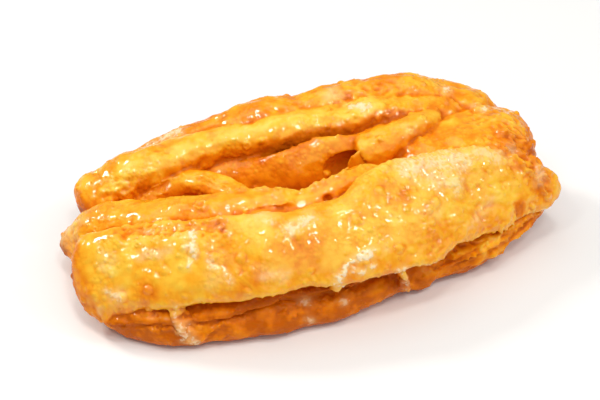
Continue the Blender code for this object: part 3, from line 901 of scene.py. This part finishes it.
def depth_under_cloth(points):
    """The height map of the skin, closed over gaps up to twice the reach, minus the point's own height."""
    low = points[:, :2].min(0) - CLOTH_REACH
    cell = ((points[:, :2] - low) / CELL).astype(int)
    size = cell.max(0) + int(CLOTH_REACH / CELL) + 2
    heights = np.zeros(size)
    np.maximum.at(heights, tuple(cell.T), points[:, 2])
    steps = int(CLOTH_REACH / CELL)
    cloth = widened(widened(heights, steps, np.maximum), steps, np.minimum)
    return cloth[tuple(cell.T)] - points[:, 2]


def tinted(points):
    """The sum of the tints, each fading out softly from its line to 1.2 times its reach."""
    total = np.zeros(len(points))
    blur = 0.25 * noise(points / 3.0, 63)
    for path, reach, change in TINTS:
        total += change * smoothstep(1.2, 0.2, distance_to(points, path) / reach + blur)
    return total


def store(mesh, name, values):
    """Keeps one number for each point on the mesh, under a name that a material can ask for."""
    layer = mesh.attributes.new(name, "FLOAT", "POINT")
    layer.data.foreach_set("value", values.astype(np.float32))


depth = averaged(depth_under_cloth(points), edges, DEPTH_ROUNDS)
crease = hollowness(points, normals, edges, CREASE_ROUNDS)
broad_crease = hollowness(points, normals, edges, BROAD_ROUNDS)
creased = np.clip(smoothstep(0.03, 0.3, crease) * 0.5 + smoothstep(0.1, 1.1, broad_crease) * 0.8, 0, 1)
facing = averaged(normals, edges, FACING_ROUNDS)
left_end = smoothstep(-49, -54, points[:, 0])
right_end = smoothstep(43, 48, points[:, 0] + 0.6 * (points[:, 2] - 17))
to_mouth = distance_to(points, TORN_MOUTH.path + folds_to_model) / MOUTH_REACH
MEASURES = {
    # What is measured, from 0 to 1, and how much tone and how much dryness it adds.
    # Painted shade: deeper orange deep under the cloth drawn over the pastry.
    "deep": (smoothstep(1.5, 11, depth), 0.28, 0.3),
    "sheltered": (smoothstep(2, 6, depth), 0, 0.4),
    # Painted shade: deeper orange in the creases.
    "creased": (creased, 0.4, 0.5),
    # Painted shade: deeper orange in small dents.
    "dented, painted shade": (smoothstep(0.01, 0.12, crease), 0.14, 0),
    # Paler on crests: partly the dough's own colour and partly painted light.
    "on a crest, partly painted light": (smoothstep(0.05, 0.9, -broad_crease), -0.1, 0),
    # Painted shade: deeper orange in the narrow hollows.
    "in a hollow, painted shade": (hollow_cover, 0.16, 0),
    # A painted glow: paler inside the torn mouth, as if light shone through the thin dough.
    "in the mouth, painted glow": (smoothstep(1.2, 0.6, to_mouth), -0.15, 0),
    "low on the flap": (on_flap * smoothstep(-0.2, -0.95, places.across), 0.12, 0),
    "at the flap's ends": (on_flap * np.maximum(left_end, right_end), 0.2, 0),
    # Painted shade: deeper orange on steep faces, as on the lower sides of the rolls.
    "steep, painted shade": (smoothstep(0.85, 0.3, facing[:, 2]) * (1 - 0.85 * on_flap), 0.3, 0.7),
    "facing an end": (smoothstep(0.4, 0.8, np.abs(facing[:, 0])), 0.1, 0.5),
    "facing back": (smoothstep(0.1, 0.6, facing[:, 1]), 0, 0.7),
}
tone += 0.16 * noise(points / 9, 60) + 0.16 * noise(points / 3.5, 61) + 0.1 * noise(points / 1.2, 62)
tone += tinted(points)
dry = np.zeros(len(points))
for measure, more_tone, more_dry in MEASURES.values():
    tone += more_tone * measure
    dry += more_dry * measure
for name, values in (
    ("tone", np.clip(tone, 0, 1.2)),
    ("veil", veil),
    ("sugar", sugar),
    ("dry", np.clip(dry + 0.6 * smoothstep(0.5, 0.85, tone), 0, 1)),
):
    store(crust.data, name, values)
    print(name, "mean", values.mean().round(3))

# %% [markdown]
# ## Fewer triangles
# The even skin spends as many faces on plain stretches as on blisters. Collapsing the edges that change the shape
# least keeps the detail and brings the count down. The points that stay keep their stored attributes.

# %% Thin the skin out
MOST_TRIANGLES = 190_000


def triangle_count(piece):
    piece.data.calc_loop_triangles()
    return len(piece.data.loop_triangles)


def thin_out(piece, most):
    count = triangle_count(piece)
    if count > most:
        piece.modifiers.new("make triangles", "TRIANGULATE")
        fewer = piece.modifiers.new("thin out", "DECIMATE")
        fewer.ratio = most / count
        apply_modifiers(piece)


def shade_smooth(piece):
    piece.data.polygons.foreach_set("use_smooth", np.ones(len(piece.data.polygons), bool))
    piece.data.update()


thin_out(crust, MOST_TRIANGLES)
shade_smooth(crust)
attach(crust, "root")
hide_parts("khaja")
print("crust triangles:", triangle_count(crust))

# %% [markdown]
# ## Shader arithmetic
# A material is a sum of masks and colours, and written as a formula it stays readable. The class below wraps a
# socket, so that 1 - mask or a * b adds the Math node that works it out.

# %% A small language for materials


class Wire:
    """An output socket that takes part in sums. Numbers alone are worked out in Python."""

    def __init__(self, socket):
        self.socket = socket

    @property
    def tree(self):
        return self.socket.node.id_data

    def plug(self, node, entry):
        self.tree.links.new(self.socket, node.inputs[entry])

    @classmethod
    def node(cls, tree, kind, values=(), output=0, **settings):
        """Adds a node: its settings first, then a value or a wire for each named or numbered entry."""
        made = tree.nodes.new(kind)
        for name, value in settings.items():
            setattr(made, name, value)
        for entry, value in dict(values).items():
            if isinstance(value, Wire):
                value.plug(made, entry)
            else:
                made.inputs[entry].default_value = value
        return cls(made.outputs[output])

    def math(self, operation, *others, clamp=False):
        values = {index: value for index, value in enumerate(others)}
        return Wire.node(self.tree, "ShaderNodeMath", values, operation=operation, use_clamp=clamp)

    def __add__(self, other):
        return self.math("ADD", self, other)

    def __sub__(self, other):
        return self.math("SUBTRACT", self, other)

    def __rsub__(self, other):
        return self.math("SUBTRACT", other, self)

    def __mul__(self, other):
        return self.math("MULTIPLY", self, other)

    def __truediv__(self, other):
        return self.math("DIVIDE", self, other)

    __radd__ = __add__
    __rmul__ = __mul__

    def clamped(self):
        return self.math("ADD", self, 0.0, clamp=True)

    def range(self, low, high):
        """0 at low, 1 at high, straight between them."""
        return ((self - low) / (high - low)).clamped()

    def mix(self, start, end):
        """A colour between start and end, by this wire from 0 to 1."""
        values = {0: self, 6: start, 7: end}
        return Wire.node(self.tree, "ShaderNodeMix", values, output=2, data_type="RGBA")

    def ramp(self, stops):
        """The colour at this wire's value between (value, colour) stops."""
        made = Wire.node(self.tree, "ShaderNodeValToRGB", {"Fac": self})
        elements = made.socket.node.color_ramp.elements
        for _ in range(len(stops) - 2):
            elements.new(0.5)
        for element, (place, colour) in zip(elements, stops):
            element.position = place
            element.color = colour
        return made


def rgb(red, green, blue):
    """A colour as it looks on screen, 0 to 255, turned into the linear values that shaders use."""
    screen = np.array([red, green, blue]) / 255
    linear = np.where(screen <= 0.04045, screen / 12.92, ((screen + 0.055) / 1.055) ** 2.4)
    return (*linear.tolist(), 1.0)


def new_material(name):
    material = bpy.data.materials.new(name)
    material.use_nodes = True
    return material, material.node_tree, material.node_tree.nodes["Principled BSDF"]


def attribute(tree, name):
    return Wire.node(tree, "ShaderNodeAttribute", output="Fac", attribute_name=name)


def stretched(tree, scale):
    """Object coordinates, scaled by this much along each axis."""
    place = Wire.node(tree, "ShaderNodeTexCoord", output="Object")
    return Wire.node(tree, "ShaderNodeMapping", {"Vector": place, "Scale": scale})


def speckle(tree, place, scale, detail=2.0, rough=0.5):
    values = {"Vector": place, "Scale": scale, "Detail": detail, "Roughness": rough}
    return Wire.node(tree, "ShaderNodeTexNoise", values, output="Fac")


def bubbles(tree, place, scale):
    """Round bumps side by side, 1 at each middle and 0 between them."""
    values = {"Vector": place, "Scale": scale, "Smoothness": 0.3}
    near = Wire.node(tree, "ShaderNodeTexVoronoi", values, output="Distance", feature="SMOOTH_F1")
    return 1 - near.range(0.0, 0.7)


print("material helpers ready")

# %% [markdown]
# ## Fried dough under syrup
# The crust runs from lemon gold through amber to rust, along its tone. It glows a little, because light
# scatters in the fat and syrup, so a small amount of subsurface is set. Fine bubbles, fibres and grains are bump
# on the dough. The syrup over it is a smooth clear coat, thin in the folds. The blisters and lumps of the mesh
# break its reflection into small glints.

# %% Make the crust's material
LEMON_GOLD = rgb(255, 212, 86)
GOLD = rgb(254, 196, 56)
AMBER = rgb(251, 172, 30)
ORANGE = rgb(242, 143, 12)
DEEP_ORANGE = rgb(228, 121, 8)
RUST = rgb(200, 97, 8)
VEIL_AND_SHEEN = rgb(255, 219, 143)
SUGAR = rgb(255, 238, 205)
TONES = [(0.0, LEMON_GOLD), (0.2, GOLD), (0.4, AMBER), (0.6, ORANGE), (0.8, DEEP_ORANGE), (1.0, RUST)]
DOUGH_UNDER_SYRUP = {
    "IOR": 1.45,
    "Specular IOR Level": 0.06,
    "Subsurface Weight": 0.14,
    "Subsurface Radius": (1.0, 0.35, 0.08),
    "Subsurface Scale": 2.2 * MM,
    "Coat Roughness": 0.05,
    "Coat IOR": 1.48,
}

crust_material, tree, shader = new_material("glazed crust")
# The tone holds painted shade in folds, hollows and dents and on steep faces, painted light on crests, and a
# painted glow in the torn mouth.
tone_wire = attribute(tree, "tone")
veil_and_sheen_wire = attribute(tree, "veil")
sugar_wire = attribute(tree, "sugar")
dry_wire = attribute(tree, "dry")
even = stretched(tree, (1.0, 1.0, 1.0))
lengthwise = stretched(tree, (0.3, 1.0, 1.0))
patches = speckle(tree, even, 160.0, 3.0)
mottle = speckle(tree, even, 520.0, 3.0, 0.6)
fibre = speckle(tree, lengthwise, 900.0, 3.0, 0.6)
pits = speckle(tree, even, 1500.0, 2.0, 0.6)
froth = bubbles(tree, even, 950.0) * patches.range(0.42, 0.6)
large_froth = bubbles(tree, even, 430.0) * patches.range(0.6, 0.45)

# The fine bubbles pale the tone at their middles and deepen it between them: painted shade round the bubbles.
shade = tone_wire + (mottle - 0.5) * 0.25 + (patches - 0.5) * 0.4 - (froth + large_froth - 0.4) * 0.16
skin_colour = shade.ramp(TONES)
# The veil pales the dough with dried syrup and with painted sheen.
skin_colour = (veil_and_sheen_wire * 0.65 * mottle.range(0.25, 0.6)).mix(skin_colour, VEIL_AND_SHEEN)
skin_colour = (sugar_wire * (0.85 + (pits - 0.5) * 0.9)).clamped().mix(skin_colour, SUGAR)
skin_colour.plug(shader, "Base Color")
(0.24 + (mottle - 0.5) * 0.2 + sugar_wire * 0.3).plug(shader, "Roughness")
(0.95 - dry_wire * 0.85 - sugar_wire * 0.4).clamped().plug(shader, "Coat Weight")
relief = mottle * 0.35 + fibre * 0.2 + pits * (0.06 + sugar_wire * 0.6) + froth * 0.8 + large_froth * 0.7
bump = Wire.node(tree, "ShaderNodeBump", {"Strength": 0.5, "Distance": 0.6 * MM, "Height": relief})
bump.plug(shader, "Normal")
for entry, value in DOUGH_UNDER_SYRUP.items():
    shader.inputs[entry].default_value = value
crust.data.materials.clear()
crust.data.materials.append(crust_material)
print("crust nodes:", len(tree.nodes))

# %% [markdown]
# ## Table and light
# A pale table and a bright, even sky give the clean studio look. Two soft boxes, high in front and overhead,
# keep the colours open and leave the gaps under the flap dark. Five small, strong windows, a little warm, fill
# the glaze with glints. One stands behind and to the left, and draws a soft shadow to the right. The other four
# stand where the flap's middle, left and right mirror them to the camera.

# %% Lay the table and set the lights
TABLE_HALF = 1500
TABLE_CORNERS = [(-TABLE_HALF, -TABLE_HALF, 0), (TABLE_HALF, -TABLE_HALF, 0), (TABLE_HALF, TABLE_HALF, 0),
                 (-TABLE_HALF, TABLE_HALF, 0)]
TABLE_COLOUR = (0.92, 0.93, 0.94, 1.0)
TABLE_ROUGHNESS = 0.6
SKY_COLOUR = (1.0, 1.0, 1.0, 1.0)
SKY_STRENGTH = 0.24
WHITE = (1.0, 1.0, 1.0)
WARM = (1.0, 0.96, 0.88)
LAMP_TARGET = (0, 0, 0.01)
LAMPS = [
    # The name, the place in metres, the width and height in metres, the power in watts and the colour.
    ("front box", (0.25, -0.38, 0.56), 1.1, 0.75, 1.85, WHITE),
    ("overhead box", (-0.1, 0.15, 0.60), 0.5, 0.5, 0.85, WHITE),
    ("back window", (-0.32, 0.34, 0.42), 0.11, 0.09, 1.3, WARM),
    ("upper front window", (-0.02, -0.10, 0.67), 0.09, 0.08, 0.6, WARM),
    ("lower front window", (0.04, -0.29, 0.61), 0.09, 0.08, 0.6, WARM),
    ("left window", (-0.33, -0.14, 0.57), 0.07, 0.06, 0.4, WARM),
    ("right window", (0.44, -0.19, 0.49), 0.07, 0.06, 0.5, WARM),
]

table = new_piece("table", TABLE_CORNERS, [(0, 1, 2, 3)])
table_material, tree, shader = new_material("pale table")
shader.inputs["Base Color"].default_value = TABLE_COLOUR
shader.inputs["Roughness"].default_value = TABLE_ROUGHNESS
table.data.materials.append(table_material)

for name, place, width, height, power, colour in LAMPS:
    data = bpy.data.lights.new(name, "AREA")
    data.shape = "RECTANGLE"
    data.size, data.size_y = width, height
    data.energy = power
    data.color = colour
    point_at(link(bpy.data.objects.new(name, data)), place, LAMP_TARGET)

world = bpy.data.worlds.new("sky")
world.use_nodes = True
world.node_tree.nodes["Background"].inputs["Color"].default_value = SKY_COLOUR
world.node_tree.nodes["Background"].inputs["Strength"].default_value = SKY_STRENGTH
bpy.context.scene.world = world
bpy.context.scene.view_settings.view_transform = "Standard"
print("lights:", [thing.name for thing in bpy.data.objects if thing.type == "LIGHT"])
